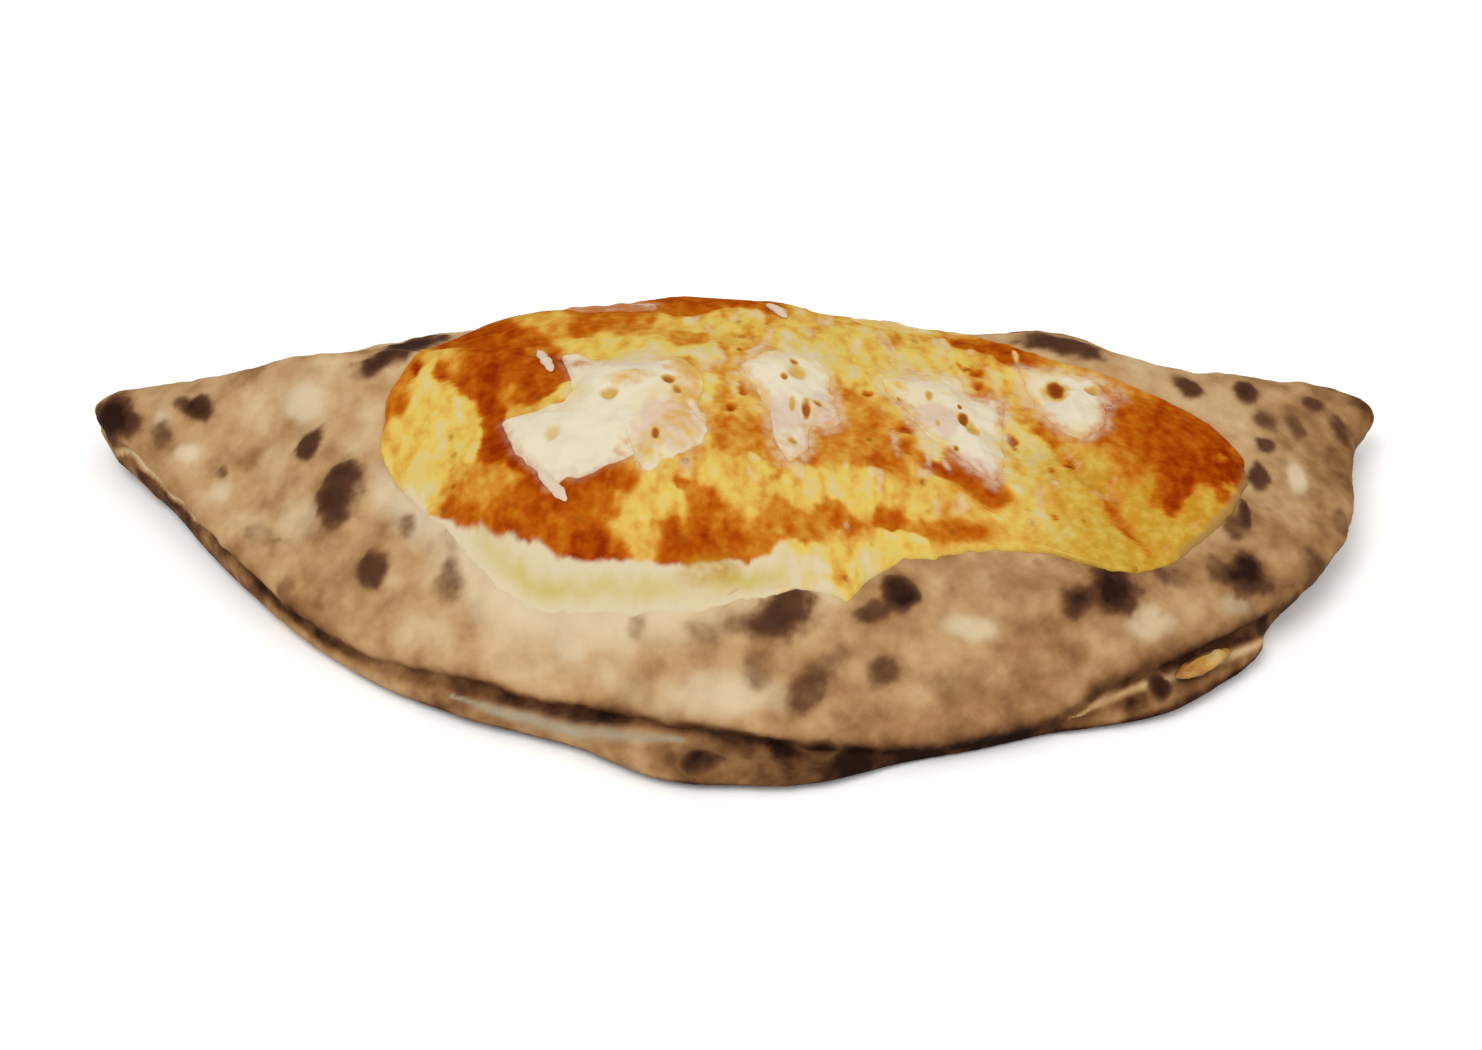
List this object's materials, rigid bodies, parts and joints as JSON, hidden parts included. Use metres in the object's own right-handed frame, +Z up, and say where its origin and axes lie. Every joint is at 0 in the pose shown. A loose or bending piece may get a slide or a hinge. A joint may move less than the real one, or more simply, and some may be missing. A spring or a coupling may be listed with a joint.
{
  "type": "calzone",
  "caption": "Baked half-moon of folded pizza dough on a flat base, sealed along a creased front seam, with tomato, melted cheese and mozzarella over its crown.",
  "frame": {"origin": "centre of the bounding box, on the plane that the calzone rests on", "axes": "+X from the left tip to the right tip, -Y out of the front seam, +Z up"},
  "size_m": [0.3008, 0.1406, 0.0529],
  "materials": {
    "crust": "matte baked crust with charred spots",
    "tomato_and_cheese": "oily melted cheese and tomato",
    "mozzarella": "soft shine",
    "leaked_cheese": "soft shine"
  },
  "bodies": {
    "root": {"crust": "crust", "tomato_and_cheese": "tomato_and_cheese", "mozzarella_left": "mozzarella", "mozzarella_middle": "mozzarella", "mozzarella_right": "mozzarella", "mozzarella_far_right": "mozzarella", "mozzarella_back_left": "mozzarella", "mozzarella_back_right": "mozzarella", "leaked_cheese": "leaked_cheese"}
  },
  "joints": []
}
